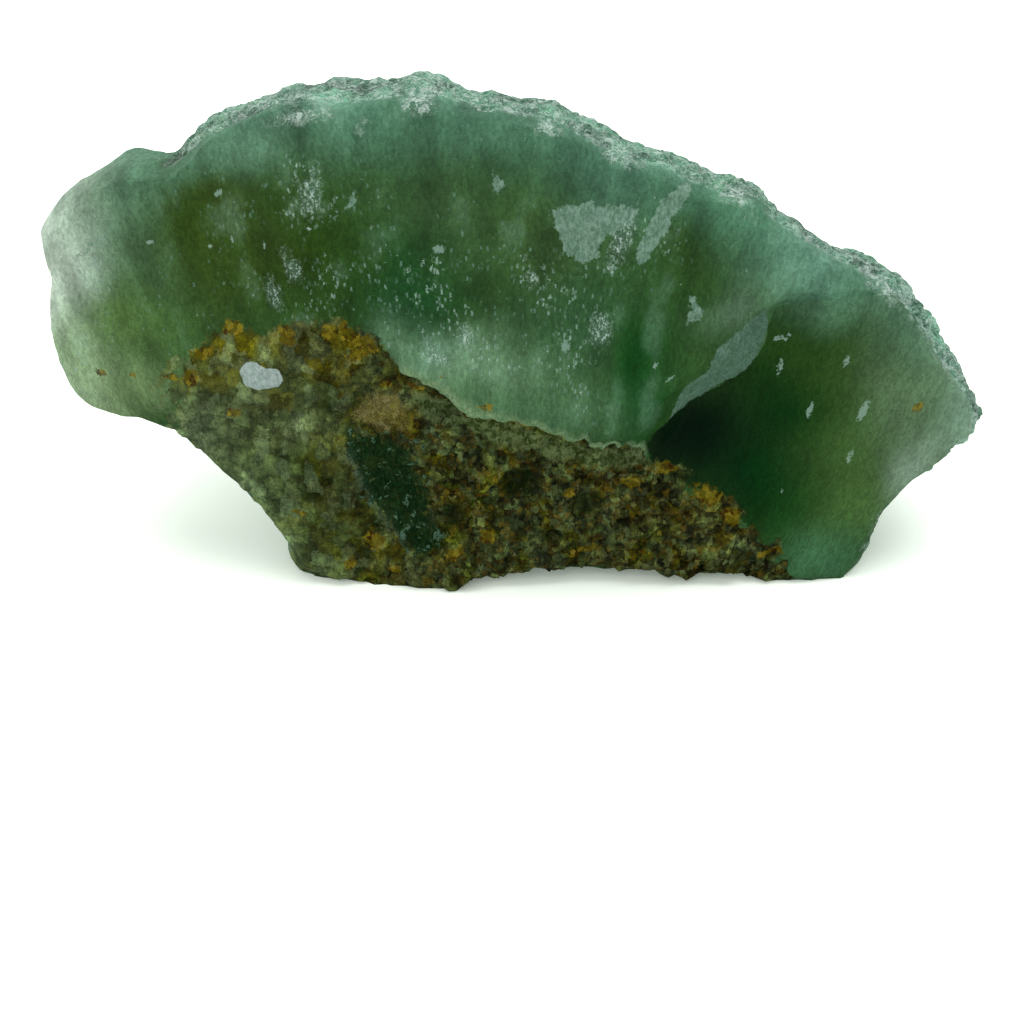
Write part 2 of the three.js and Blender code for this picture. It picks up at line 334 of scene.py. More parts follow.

# %% [markdown]
# Marks on the stone are written as short lists, as outlines or as blots. The shader adds noise to
# what they give before it cuts it off, which makes the ragged edges. Cleavage chips are flat
# places that catch the light, and their paler colour is a painted highlight. Bruises are crushed
# and full of tiny cracks, so they look white. Frost is crust that laps over the rim onto the front.
# The heart's edge is crisp under the lip and frayed beside the scoop.

# %% Stone: marks
STEP_FACET = [
    (30.3, 33.4), (30.5, 31), (29, 26.5), (26.9, 25), (24, 23.2), (22.6, 22.7), (20.3, 21.3),
    (18.6, 21.2), (19.4, 23.4), (20.2, 26), (22.4, 27.6), (23.4, 30), (25.4, 31.6), (28, 33.4),
]  # fmt: skip
CLEAVAGE_CHIPS = [
    [(4.6, 45.4), (5.8, 46), (9, 45.8), (12.6, 46), (14.6, 45.4), (13.6, 43.8), (10.8, 42.6),
     (9.8, 40.6), (8.4, 39.9), (5.9, 41.4), (5.3, 43.4)],
    [(20.2, 48), (20.8, 46.8), (17.6, 43), (15.9, 40.2), (14.7, 39.9), (14.4, 41.4), (16, 44.4),
     (17.6, 47)],
    [(21, 36), (22.8, 34.5), (21.8, 33.6), (20.6, 33.2)],
    [(-2.6, 50.2), (-0.8, 48.6), (-1.0, 47.6), (-1.7, 46.4), (-2.1, 48.4)],
    [(-19.4, 45.7), (-18.5, 47), (-17.8, 47), (-18, 45.8), (-19.2, 45.2)],
    [(-18.3, 53.2), (-17.2, 54.8), (-15.9, 55.2), (-16.3, 54.2), (-17.4, 53)],
    [(-52.9, 37.1), (-51, 37.8), (-49.4, 39.5), (-51, 38.8)],
]  # fmt: skip
SMALL_CHIPS = [
    (42.3, 21.4, 1.5, 0.5, 72), (35.9, 21.4, 1.2, 0.35, 70), (32.1, 26.3, 1.2, 0.35, 82),
    (40.1, 27, 0.8, 0.35, 75), (31.8, 29.8, 0.9, 0.3, 20), (33.0, 30.0, 0.9, 0.25, 60),
    (16.8, 28.8, 0.8, 0.25, 60), (18.4, 27.6, 0.8, 0.2, 30), (-50, 36.8, 0.8, 0.25, 110),
    (-34.4, 46, 0.6, 0.35, 40), (-8.4, 41.4, 0.7, 0.5, 0), (6.2, 31.6, 0.9, 0.5, 100),
    (-43, 40, 0.6, 0.3, 10), (41, 16, 0.9, 0.35, 70), (33, 12, 0.6, 0.25, 80),
    (-29, 41, 0.7, 0.25, 100),
]  # fmt: skip
BRUISES = [
    (-23.4, 46.8, 1.6, 3.4, -12), (12.6, 42, 1.3, 3.6, -32), (10.4, 33, 1.8, 2.6, 0),
    (-5.4, 32.6, 1.5, 1.5, 40), (-9, 30.6, 2.4, 1.2, -30), (-25.6, 39.0, 1.2, 2.2, 30),
    (2.4, 38.6, 1.2, 1.2, 0), (-28, 36.0, 1.2, 2, 20),
]  # fmt: skip
GRAINY = [
    (5, 37, 9, 6, 0), (-22.5, 36.5, 5, 4, 0), (-9.5, 37, 8, 6, 20), (7, 32, 5, 3.5, 0),
    (-23.5, 46.5, 4, 5, 0), (14, 43, 3, 6, -32), (-4, 31, 6, 3, -20),
]  # fmt: skip
FROST = [
    (-10.8, 56.6, 2.6, 1.6, 0), (12.4, 51, 3.4, 1.5, -26), (26, 46.4, 2.9, 1.5, -22),
    (44.4, 35, 4.6, 1.4, -40), (-24.5, 54.6, 5.4, 1.1, 12), (53, 28, 1.7, 6.5, 20),
    (50, 31.4, 2.6, 1.4, -50), (4, 54, 2.6, 0.9, -10),
]  # fmt: skip
RUST_STAINS = [
    (-33, 32, 1.3, 0.8, 10), (-36.7, 28.8, 1.4, 0.8, 30), (-26.4, 31.6, 0.9, 1.4, 20),
    (-21.4, 32.0, 1.4, 1.0, -10), (-19.7, 33.0, 0.7, 0.8, 0), (-17.4, 30.8, 2.0, 1.1, -24),
    (-18.8, 29.4, 1.0, 0.6, 0), (-38.4, 25.4, 1.1, 1.1, 30), (-41, 25.4, 0.9, 0.4, 0),
    (-33.5, 21.8, 0.9, 0.7, 0), (-14.8, 26.4, 0.8, 0.6, 0), (-11.3, 26, 1.1, 0.6, -35),
    (-8, 28.4, 0.8, 0.5, 0), (-3, 25, 1.3, 0.6, -25), (1.2, 22.2, 1.5, 0.45, -20),
    (4.8, 21, 1.0, 0.4, -15), (-17.1, 5.6, 1.4, 1.1, -50), (-19.9, 3.1, 0.9, 0.8, 40),
    (-14.6, 2.4, 0.7, 0.5, 0), (-25.8, 9.9, 1.2, 0.4, 0), (-7.2, 5.2, 1.3, 1.1, 0),
    (-2.9, 7, 0.9, 1.2, 0), (18.4, 14.9, 1.7, 0.8, -10), (14.5, 13.9, 1.3, 0.9, 0),
    (24, 11.8, 2.2, 1.1, -18), (26.8, 9.2, 1.5, 0.9, -30), (8.8, 5, 1.7, 0.7, 25),
    (31.4, 4.2, 2.2, 0.6, 10), (15.5, 4.5, 1.4, 0.6, 0), (7, 13, 0.8, 0.8, 0),
    (-49.6, 24.9, 0.7, 0.7, 0), (-45.8, 25.1, 0.6, 0.5, 0), (49.2, 21.2, 0.7, 0.6, 0),
]  # fmt: skip
# Pits where grains fell out. They are sunk into the relief and darkened with painted shade.
SHADED_PITS = [
    (-22.2, 24.5, 2.0, 2.6, 0), (-9.0, 23.6, 3.0, 1.3, -25), (-19.6, 20.8, 1.4, 1.0, 0),
    (1.0, 13.6, 3.2, 2.2, 0), (-7, 10, 2.0, 1.6, 0),
    (20.8, 13.8, 2.4, 0.7, -25), (9, 11, 3, 1.6, 0), (5, 7, 2, 1, 0), (-24.5, 12.0, 1.4, 1.0, 0),
]  # fmt: skip
CLEAR_POCKET = [
    (-20.4, 19.4), (-18.6, 21), (-16, 19.8), (-13.8, 20), (-11.4, 18.4), (-11.6, 15.4), (-10, 12.6),
    (-9.4, 9), (-8.6, 6), (-10.4, 4.2), (-13.4, 5), (-15.4, 7.5), (-16.6, 9.6), (-18.2, 12.1),
    (-19, 15.3),
]  # fmt: skip
POCKET_MARGIN = [
    (-20.2, 18.4), (-19.4, 14.6), (-17.6, 10.6), (-15.6, 7.2), (-13.6, 5), (-12, 5.6), (-15, 8.6),
    (-17, 12.4), (-18.2, 16), (-18.8, 19),
]  # fmt: skip
# Painted shadow: the strip of the heart just under the lip is darkened where the lip shades it.
LIP_SHADOW = [
    (-13.6, 26.6), (-6.5, 24), (1, 21.6), (10.4, 18.6), (15.6, 18), (18.4, 16.2), (15.2, 16),
    (11.6, 16), (8, 16.8), (5.3, 16.4), (2.4, 17.8), (-2.6, 18.8), (-6.5, 20.5), (-10, 21.6),
]  # fmt: skip
TAN_PATCH = [
    (-18.9, 23.9), (-16.5, 25.4), (-13.5, 25.6), (-11.9, 22.6), (-12.4, 20.6), (-15.3, 19.8),
    (-18.3, 21.4), (-20.4, 22),
]  # fmt: skip
WHITE_GRAIN = [
    (-32.1, 27.6), (-31.4, 28.6), (-30.2, 28.8), (-29.2, 28), (-27.6, 27.8), (-27.0, 26.6),
    (-27.6, 25.4), (-30.2, 25), (-31.8, 25.4),
]  # fmt: skip

lip_margin = ramp(pz - lip_height, 3.6, 0.2) * ramp(px, -15, -12) * ramp(px, 17.5, 15)
lip_margin *= scoop < 0.5
fields = {
    "facet": outlines([STEP_FACET]),
    "chips": outlines(CLEAVAGE_CHIPS),
    "small_chips": blots(SMALL_CHIPS),
    "bruises": blots(BRUISES),
    "rust": blots(RUST_STAINS),
    "pits": blots(SHADED_PITS),
    "clear_pocket": outlines([CLEAR_POCKET]),
    "lip_shadow": outlines([LIP_SHADOW]),
    "pocket_margin": outlines([POCKET_MARGIN]),
    "tan_patch": outlines([TAN_PATCH]),
    "grainy": blots(GRAINY),
    "white_grain": outlines([WHITE_GRAIN]),
    "scoop": scoop,
    "lip_margin": lip_margin,
}
fields = {name: np.where(on_front, value, min(value.min(), 0)) for name, value in fields.items()}
rim_frost = (0.5 - under_crust / 2.2) * ramp(px, -48, -36)
fields["frost"] = np.maximum(blots(FROST), rim_frost) - 1.1 * ramp(facing, 0.15, -0.75)
fields["growth"] = growth
fields["coarse"] = ramp(px, -32, -4)
slope = ramp(blots([(-35, 14, 11, 13, -45)]), 0.0, 0.4)
fields["iron"] = (0.2 + 0.35 * (1 - fields["coarse"]) * ramp(pz, 18, 27)) * (1 - 0.8 * slope)
frayed = np.array([noise.noise(Vector(p) / 1.9 + Vector((3, 0, 0))) for p in points])
crisp = 1 + 1.8 * ramp(px, -14, -11) * ramp(px, 17, 15)
fields["heart"] = np.where(on_front, heart * crisp, -9) - 2 * growth
fields["heart"] += 3.2 * frayed * ramp(px, 17, 20)
print("marks:", len(fields), "fields on each point")

# %% [markdown]
# The relief is real geometry down to half a millimetre. The crust grew as low round mounds that
# are covered with little cubes, so it has mounds, and each small cell on them has a height of its
# own. On the broken faces, fibres run up from the heart as low ridges with small ledges across
# them. The heart is a mass of blocks and grains, with pits where some fell out.

# %% Stone: relief
CRYSTAL_SIZE = 1.25
MOUND_SIZE = 4.5
BLOCK_SIZE = 2.4
GRAIN_SIZE = 0.95
FAN_DEPTH = 80
FAN_RADIUS = 120.0


def cells(point, size):
    """A random height for the cell that a point lies in, and how far inside it the point is."""
    distance, centres = noise.voronoi(point / size)
    return noise.cell(centres[0] * 7.3), min(distance[1] - distance[0], 0.4) / 0.4


def mound(p):
    """The height of the round mounds: highest at the middle of each, with creases between."""
    distance, _ = noise.voronoi((p + 1.4 * noise.noise_vector(p / 5)) / MOUND_SIZE)
    return 0.8 - 1.3 * min(distance[0], 0.8) ** 2


def crust_relief(p):
    """The height of the crust in millimetres: its crystals on its mounds."""
    height, inside = cells(p, CRYSTAL_SIZE)
    return 0.3 * height + 0.2 * inside + mound(p) - 0.7


def in_blocks(p):
    """A point moved to and fro, so that the edges between the blocks are not straight."""
    return p + Vector((11, 5, 3)) + 1.2 * noise.noise_vector(p / 2)


def heart_relief(p):
    """The height of the heart in millimetres: its grains on its blocks."""
    block, block_inside = cells(in_blocks(p), BLOCK_SIZE)
    grain, grain_inside = cells(p + Vector((40, 0, 0)), GRAIN_SIZE)
    blocks = 0.4 * block + 0.3 * block_inside + 0.4 * noise.noise(p / 5)
    return blocks + 0.35 * grain + 0.2 * grain_inside - 0.6


def in_fan(p):
    """Where a point lies across the fibres and along them. They fan out from below the stone."""
    return FAN_RADIUS * math.atan2(p.x, p.z + FAN_DEPTH), math.hypot(p.x, p.z + FAN_DEPTH)


def fibre_relief(p):
    """The height of the broken green faces in millimetres: fibres, ledges and lumps."""
    across, along = in_fan(p)
    ridges = noise.noise(Vector((across / 2.2, along / 14, p.y / 14)))
    ledges = noise.noise(Vector((across / 1.1, along / 3, p.y / 3 + 7)))
    lumps = noise.noise(p / 1.3)
    return 0.15 * ridges + 0.09 * ledges + 0.05 * lumps


vectors = [Vector(p) for p in points]
broken = 1 - growth
crust_height = np.array([crust_relief(p) for p in vectors])
heart_height = np.array([heart_relief(p) for p in vectors])
fibre_height = np.array([fibre_relief(p) for p in vectors])
pit_noise = np.array([noise.noise(p / 1.3) for p in vectors])
heart_share = ramp(fields["heart"], -0.3, 0.5)
rough_share = heart_share * (1 - 0.8 * ramp(fields["clear_pocket"], -0.3, 0.5))
rough_share *= 0.4 + 0.6 * fields["coarse"]
flat_share = 1 - 0.7 * ramp(fields["facet"], -0.5, 0.5)
relief = growth * crust_height + broken * rough_share * heart_height
relief += broken * (1 - rough_share) * flat_share * fibre_height
relief -= broken * rough_share * ramp(fields["pits"] + 0.4 * pit_noise, 0.2, 0.6)
relief += 0.45 * ramp(fields["white_grain"], -0.3, 0.3)

low, high = (np.array(corner) for corner in cad_box)
for vert in free:
    vert.co = np.clip(vert.co + vert.normal * (relief[vert.index] * MM), low, high)
print("relief:", round(float(relief.min()), 1), "to", round(float(relief.max()), 1), "mm")

# %% [markdown]
# Broad colour comes next. The stone's green changes slowly across it, because it is cloudy at its
# thin ends and clear where it is thick. The palest zones at the thin ends are also painted light,
# the light that comes through the thin stone. Each zone is a soft blot of one colour on top of the
# one that the depth under the crust gives. The scoop and the heart have their own colours, with
# painted shade in the scoop under the step and painted light at the heart's foot.
#
# The zones are written as they look. The room lights the front of the stone rather more than
# a white card would need to look white, so every colour of the stone is darkened by that much.

# %% Stone: broad colour
LIGHT_SHARE = 0.64
DEPTH_COLOURS = [(0, "#547f68"), (4, "#487058"), (10, "#375a33"), (20, "#2f4f26")]
# Painted light: the palest zones at the left end stand for light that comes through the thin stone.
UPPER_ZONES = [
    (-50, 42, 9, 6, "#5d8064", 0.8), (-32, 51, 9, 4, "#5d846a", 0.8),
    (-3, 53, 10, 4, "#446b54", 0.8), (25, 45, 9, 4, "#4d7a60", 0.9),
    (39, 38, 9, 4, "#618b76", 0.9), (-24, 41, 13, 7, "#253e0d", 0.95),
    (-35, 39, 8, 7, "#33491a", 0.95), (-33, 44, 5, 3, "#35491e", 0.8),
    (-8, 45, 7, 5, "#385332", 0.8), (5, 42, 8, 5, "#36502a", 0.8), (20, 38, 6, 5, "#2b4c20", 0.9),
    (-12, 36, 6, 6, "#174420", 0.9), (8, 34, 7, 5, "#315435", 0.8),
    (16, 25, 4.5, 7, "#0d4014", 1.0), (20, 41, 3, 2, "#2c481e", 0.9),
    (-5, 29, 8, 3.5, "#688b6a", 0.95), (-9.5, 30.5, 3.5, 2.2, "#6a8f74", 0.8),
    (5, 24.5, 9, 3, "#4f7352", 0.8), (-58, 33, 7, 12, "#cbdccb", 1.0),
    (-53, 26, 6, 4, "#829c74", 0.9), (-51, 20, 5, 4, "#93ac80", 0.9),
    (-46, 30, 6, 4, "#52713b", 0.9), (-44, 23, 6, 3, "#6f8a5c", 0.9),
    (26, 34.5, 4, 3, "#5a755e", 0.7), (-14, 31.5, 2, 3, "#57795a", 0.8),
    (15.5, 28, 3.5, 5, "#0d4014", 0.8), (-36, 41, 4, 4, "#2c4212", 0.8),
]  # fmt: skip
SCOOP_BASE = "#2d491d"
# The near-black zones under the step are partly the stone's deep clear green and partly painted
# shade under the overhang. The pale zones at the right end are painted light that comes through the
# thin stone.
SCOOP_ZONES = [
    (30, 14, 8, 6, "#002f0a", 1.0), (32, 22, 5, 5, "#04300a", 0.9), (33, 30, 6, 4, "#203e12", 1.0),
    (23, 19, 8, 8, "#001a08", 1.0), (20, 18, 5, 5, "#001206", 0.9), (42, 34, 9, 3, "#537a60", 1.0),
    (50, 30, 5, 5, "#5c8069", 0.9), (48, 22, 5, 6, "#546f4e", 0.9), (57, 22, 5, 9, "#7c9d86", 1.0),
    (50, 12, 5, 5, "#7b937f", 0.9), (41, 12, 5, 6, "#466634", 0.9), (38, 3, 7, 4, "#3d6847", 0.95),
    (33, 9, 4, 4, "#0f3c12", 0.8),
]  # fmt: skip
HEART_BASE = "#434e12"
# Painted light: the pale zone at the foot, near x -28, lightens an underside that lies in shade.
HEART_ZONES = [
    (-43, 22, 6, 6, "#6c8551", 1.0), (-37, 17, 6, 8, "#697c58", 0.95),
    (-31, 9, 5, 7, "#6a8054", 0.95), (-32, 30, 6, 3, "#605e08", 0.9),
    (-23, 30, 6, 4, "#5b5604", 0.9), (-27, 22, 6, 4, "#6f8052", 0.8),
    (-26, 14, 5, 4, "#263602", 0.9), (-12, 22, 4, 4, "#5c5520", 0.7),
    (-4, 17, 7, 4, "#263406", 0.9), (6, 13, 9, 5, "#262d02", 0.9), (-8, 5, 8, 5, "#3a4204", 0.8),
    (-20, 5, 5, 4, "#44531e", 0.8), (17, 14, 6, 4, "#262b03", 0.8), (20, 7, 8, 4, "#2f3402", 0.8),
    (28, 9, 5, 2.5, "#5d5c1c", 0.8), (-28, 3, 4, 3, "#87a46e", 0.9),
    (8, 0.5, 22, 1.8, "#1f2902", 0.8), (-40, 25, 5, 2, "#666c20", 0.8),
    (-21, 24, 3, 2.5, "#22300a", 0.8), (-9, 21.5, 3, 2, "#22330f", 0.8),
    (22, 3, 5, 2, "#2c3203", 0.8),
]  # fmt: skip


def stone_colour(hex_colour):
    """A colour of the stone in linear light, darkened for the bright room."""
    return np.array(linear(hex_colour)) * LIGHT_SHARE


def painted(base, zones):
    """Linear colours: soft blots of the zones' colours on top of a base."""
    colours = np.array(base, float)
    for x, z, wide, high, colour, strength in zones:
        near = np.exp(-(((px - x + 3 * shift) / wide) ** 2 + ((pz - z - 3 * shift) / high) ** 2))
        share = (strength * near)[:, None]
        colours = colours * (1 - share) + stone_colour(colour) * share
    return colours


shift = np.array([noise.noise(p / 8.0) for p in vectors])
depths = [depth for depth, _ in DEPTH_COLOURS]
steps = np.array([stone_colour(colour) for _, colour in DEPTH_COLOURS])
by_depth = np.stack([np.interp(under_crust + 3 * shift, depths, steps[:, i]) for i in range(3)], 1)
back = (growth * ramp(behind, 5, 10))[:, None]
upper_tint = by_depth * back + painted(by_depth, UPPER_ZONES) * (1 - back)
# Painted shade and light: the crust is darker in the creases between its mounds and lighter on
# their tops.
mounds = np.array([mound(p) for p in vectors])
upper_tint *= (1 + growth * (0.9 * ramp(mounds, 0, 0.8) - 0.5))[:, None]
scoop_tint = painted(np.tile(stone_colour(SCOOP_BASE), (len(points), 1)), SCOOP_ZONES)
heart_tint = painted(np.tile(stone_colour(HEART_BASE), (len(points), 1)), HEART_ZONES)

# %% [markdown]
# Cloudy patches and fibres make the green lighter and darker. Multiplying, rather than mixing in
# grey, keeps the deep green saturated. In the heart, what stands high is lighter and what lies deep
# is darker: painted light and shade on its relief. Its blocks differ too: some are grey green and
# clear, some brown with iron.


# %% Stone: clouds, fibres and blocks
def cloud(p):
    """How cloudy the stone is."""
    return noise.fractal(p / 5.5 + Vector((4.3, 1.7, 9.1)), 1.0, 2.0, 3)


def fibre(p):
    """How light the fibre is that a point lies on."""
    across, along = in_fan(p)
    return noise.fractal(Vector((across / 2.4, along / 11, p.y / 11)), 1.0, 2.0, 2)


def block_lot(p):
    """Two random numbers for the block of the heart that a point lies in."""
    _, centres = noise.voronoi(in_blocks(p) / BLOCK_SIZE)
    return noise.cell(centres[0] * 3.7), noise.cell(centres[0] * 5.9)


clouds = np.array([cloud(p) for p in vectors])
fibres = np.array([fibre(p) for p in vectors])
lots = np.array([block_lot(p) for p in vectors])
lightness = np.clip(1 + 0.3 * clouds + 0.34 * fibres, 0.5, 1.7)[:, None]
upper_tint = upper_tint * lightness
scoop_tint = scoop_tint * (0.5 + 0.5 * lightness)
veils = (ramp(clouds + 0.9 * fibres, 0.3, 1.0) * 0.2 * (1 - growth))[:, None]
upper_tint = upper_tint * (1 - veils) + stone_colour("#708f7d") * veils
coarse = fields["coarse"]
brown = (0.45 * ramp(lots[:, 0], 0.45, 0.9) * (0.3 + 0.7 * coarse))[:, None]
heart_tint = heart_tint * (1 - brown) + stone_colour("#4a3a04") * brown
grey = (0.35 * ramp(lots[:, 0], 0.4, 0.05))[:, None]
heart_tint = heart_tint * (1 - grey) + stone_colour("#5f7148") * grey
# Painted light and shade: the heart's high parts are lightened and its deep parts darkened.
relief_light_and_shade = 1 + (0.25 + 0.75 * coarse) * (1.1 * ramp(heart_height, -0.7, 0.6) - 0.5)
heart_tint *= ((0.8 + 0.4 * lots[:, 1]) * relief_light_and_shade)[:, None]
flakes = np.clip(0.3 + 0.8 * clouds + 0.7 * ramp(fields["grainy"], -0.3, 0.5), 0.05, 1.2)
flakes *= 1 - 0.85 * ramp(px, 11, 14) * ramp(pz, 40, 34)
fields["flakes"] = flakes * np.where(scoop > 0, 0.12, 1)

# %% [markdown]
# The finished mesh gets its fields as attributes, which the shader reads. The crust is shaded flat,
# so that its small faces glint one by one, and the rest smooth.

# %% Stone: object
for face in bm.faces:
    face.smooth = sum(growth[vert.index] for vert in face.verts) < 2.7
stone_mesh = bpy.data.meshes.new("stone")
bm.to_mesh(stone_mesh)
bm.free()
for name, values in fields.items():
    layer = stone_mesh.attributes.new(name, "FLOAT", "POINT")
    layer.data.foreach_set("value", values.astype(np.float32))
tints = {"upper_tint": upper_tint, "scoop_tint": scoop_tint, "heart_tint": heart_tint}
for name, colours in tints.items():
    layer = stone_mesh.attributes.new(name, "FLOAT_COLOR", "POINT")
    opaque = np.hstack([colours, np.ones((len(points), 1))])
    layer.data.foreach_set("color", opaque.astype(np.float32).ravel())
stone = bpy.data.objects.new("stone", stone_mesh)
bpy.context.collection.objects.link(stone)

# %% [markdown]
# Fluorite is clear to cloudy calcium fluoride with a low index of 1.43. Freshly broken it shines
# like glass, but these faces are made of countless tiny cleavage steps that shade one another, so
# they are almost matt, and only the few steps that happen to lie right are bright. Their brightness
# is painted into the colour as glints.
#
# The shader is a long sum of simple nodes, all added with the one helper. A Map Range node takes a
# value, the two ends of a range, and what they become. With smooth steps it makes soft edges out of
# plain numbers. A Mix node for colours takes the share as socket 0 and its two colours as sockets
# 6 and 7. Where it multiplies, its second colour is a tone: below 1 darker, above 1 lighter.

# %% Fluorite material: what it reads from the mesh
fluorite = bpy.data.materials.new("fluorite, broken and crusted")
fluorite.use_nodes = True
nodes = fluorite.node_tree
nodes.nodes.clear()

SMOOTH = {"interpolation_type": "SMOOTHSTEP"}
COLOURS = {"data_type": "RGBA"}
TONED = {"data_type": "RGBA", "blend_type": "MULTIPLY"}
mask = {name: add_node(nodes, "Attribute", attribute_name=name).outputs["Fac"] for name in fields}
tint = {name: add_node(nodes, "Attribute", attribute_name=name) for name in tints}


def paint(hex_colour):
    """A colour of the stone, as a colour socket takes it."""
    return (*stone_colour(hex_colour), 1)


# %% [markdown]
# Patterns are placed in millimetres. Two coordinates follow the fibres, which fan out a little
# from far below the stone: one runs across them and one along them.

# %% Fluorite material: coordinates
place = add_node(nodes, "TexCoord").outputs["Object"]
to_mm = {"Vector": place, "Location": (*DRAWING_ZERO, 0), "Scale": (1 / MM, 1 / MM, 1 / MM)}
in_mm = add_node(nodes, "Mapping", to_mm)
axes = add_node(nodes, "SeparateXYZ", {"Vector": in_mm})
rise = add_node(nodes, "Math", [axes.outputs["Z"], float(FAN_DEPTH)], operation="ADD")
across = add_node(nodes, "Math", [
    add_node(nodes, "Math", [axes.outputs["X"], rise], operation="ARCTAN2"), FAN_RADIUS,
], operation="MULTIPLY")
along = add_node(nodes, "Math", [
    add_node(nodes, "Math", [
        rise, rise,
        add_node(nodes, "Math", [axes.outputs["X"], axes.outputs["X"]], operation="MULTIPLY"),
    ], operation="MULTIPLY_ADD"),
    0.5,
], operation="POWER")
FIBRE_STRETCH = 1.8
stretched = {
    "X": across, "Y": add_node(nodes, "Math", [along, 1 / FIBRE_STRETCH], operation="MULTIPLY"),
    "Z": add_node(nodes, "Math", [axes.outputs["Y"], 1 / FIBRE_STRETCH], operation="MULTIPLY"),
}
along_fibres = add_node(nodes, "CombineXYZ", stretched)
ragged = add_node(nodes, "Math", [
    add_node(nodes, "TexNoise", {"Vector": in_mm, "Scale": 0.6, "Detail": 6.0, "Roughness": 0.75}),
    3.0, -1.5,
], operation="MULTIPLY_ADD")
grain = add_node(
    nodes, "TexNoise", {"Vector": along_fibres, "Scale": 2.6, "Detail": 3.0, "Roughness": 0.8}
)
grit = add_node(
    nodes, "TexNoise", {"Vector": in_mm, "Scale": 4.2, "Detail": 2.0, "Roughness": 0.8}
)

# %% [markdown]
# The broken green faces have a fine grain: cleavage steps of a third of a millimetre, each a little
# lighter or darker than the next. A few of them face the light, and their glints are painted into
# the colour as small pale spots.

# %% Fluorite material: broken faces
scoop_share = add_node(nodes, "MapRange", [
    add_node(nodes, "Math", [ragged, 0.7, mask["scoop"]], operation="MULTIPLY_ADD"), -0.05, 0.12,
], **SMOOTH)
body = add_node(
    nodes, "Mix", {0: scoop_share, 6: tint["upper_tint"], 7: tint["scoop_tint"]}, **COLOURS
)
step_cells = add_node(
    nodes, "TexVoronoi", {"Vector": along_fibres, "Scale": 2.9}, distance="CHEBYCHEV"
)
step_lot = add_node(nodes, "SeparateColor", {"Color": step_cells.outputs["Color"]})
body_tones = [
    (grain, 0.28, 0.72, 0.87, 1.14),
    (step_lot.outputs["Green"], 0.0, 1.0, 0.87, 1.14),
    (grit, 0.3, 0.7, 0.88, 1.12),
]
for tone in body_tones:
    body = add_node(
        nodes, "Mix", {0: 1.0, 6: body, 7: add_node(nodes, "MapRange", tone, **SMOOTH)}, **TONED
    )
flakes = mask["flakes"]


def painted_glints(cell, lot, size, chance):
    """Where a pattern of cells shows painted glints, small pale spots of a size. A chance says how
    many it shows.
    """
    edge = add_node(nodes, "Math", [
        cell.outputs["Distance"],
        add_node(nodes, "Math", [grit, 1.3, -0.65], operation="MULTIPLY_ADD"),
    ], operation="ADD")
    shown = add_node(nodes, "MapRange", [
        add_node(nodes, "Math", [flakes, chance, lot.outputs["Red"]], operation="MULTIPLY_ADD"),
        1.0, 1.0 + 0.4 * chance,
    ], **SMOOTH)
    return add_node(nodes, "Math", [
        add_node(nodes, "Math", [
            add_node(nodes, "MapRange", [edge, size, size * 0.7], **SMOOTH), shown,
        ], operation="MULTIPLY"),
        add_node(nodes, "MapRange", [lot.outputs["Blue"], 0.0, 1.0, 0.15, 1.0], **SMOOTH),
    ], operation="MULTIPLY")


glint_cells = add_node(
    nodes, "TexVoronoi", {"Vector": along_fibres, "Scale": 1.1}, distance="MANHATTAN"
)
glint_lot = add_node(nodes, "SeparateColor", {"Color": glint_cells.outputs["Color"]})
pale = add_node(nodes, "Mix", {
    0: add_node(nodes, "MapRange", [
        add_node(nodes, "Math", [flakes, grain], operation="MULTIPLY"), 0.2, 0.7,
    ], **SMOOTH),
    6: paint("#5d8270"), 7: paint("#a3bdb0"),
}, **COLOURS)
# Painted glints: pale spots in the colour stand for cleavage steps that catch the light.
glint_layers = [
    (
        add_node(
            nodes, "Math", [painted_glints(step_cells, step_lot, 0.42, 0.42), 0.65], operation="MULTIPLY"
        ),
        pale,
    ),
    (
        add_node(
            nodes, "Math", [painted_glints(glint_cells, glint_lot, 0.26, 0.4), 0.8], operation="MULTIPLY"
        ),
        paint("#9db8aa"),
    ),
]
for share, layer in glint_layers:
    body = add_node(nodes, "Mix", {0: share, 6: body, 7: layer}, **COLOURS)

# %% [markdown]
# Chips are clean little cleavage planes that catch the light, so each is painted paler, with a
# tone of its own: a painted highlight. A bruise is a cluster of tiny cracks that scatter the light,
# so it gets a thin veil and then white cracks in it.

# %% Fluorite material: chips and bruises
# Painted highlights: the chips catch the light, so they are paler than the face around them.
chip_highlight = add_node(nodes, "MapRange", [
    add_node(nodes, "Math", [mask["chips"], ragged], operation="ADD"), -0.05, 0.15, 0.0, 0.85,
], **SMOOTH)
chip_highlight_tone = add_node(nodes, "Math", [ragged, 0.12, grain], operation="MULTIPLY_ADD")
chip_edge = add_node(nodes, "Math", [
    ragged, 0.45, add_node(nodes, "Math", [grit, 1.8, -0.9], operation="MULTIPLY_ADD"),
], operation="MULTIPLY_ADD")
small_chip_highlight = add_node(nodes, "MapRange", [
    add_node(nodes, "Math", [mask["small_chips"], chip_edge], operation="ADD"), 0.05, 0.25, 0.0,
    0.7,
], **SMOOTH)
bruise_depth = add_node(nodes, "Math", [ragged, 0.7, mask["bruises"]], operation="MULTIPLY_ADD")
bruise_veil = add_node(nodes, "MapRange", [bruise_depth, 0.0, 1.0, 0.0, 0.3], **SMOOTH)
bruise_cracks = add_node(nodes, "MapRange", [
    add_node(nodes, "Math", [grit, 0.9, grain], operation="MULTIPLY_ADD"), 0.95, 1.12, 0.0, 0.85,
], **SMOOTH)
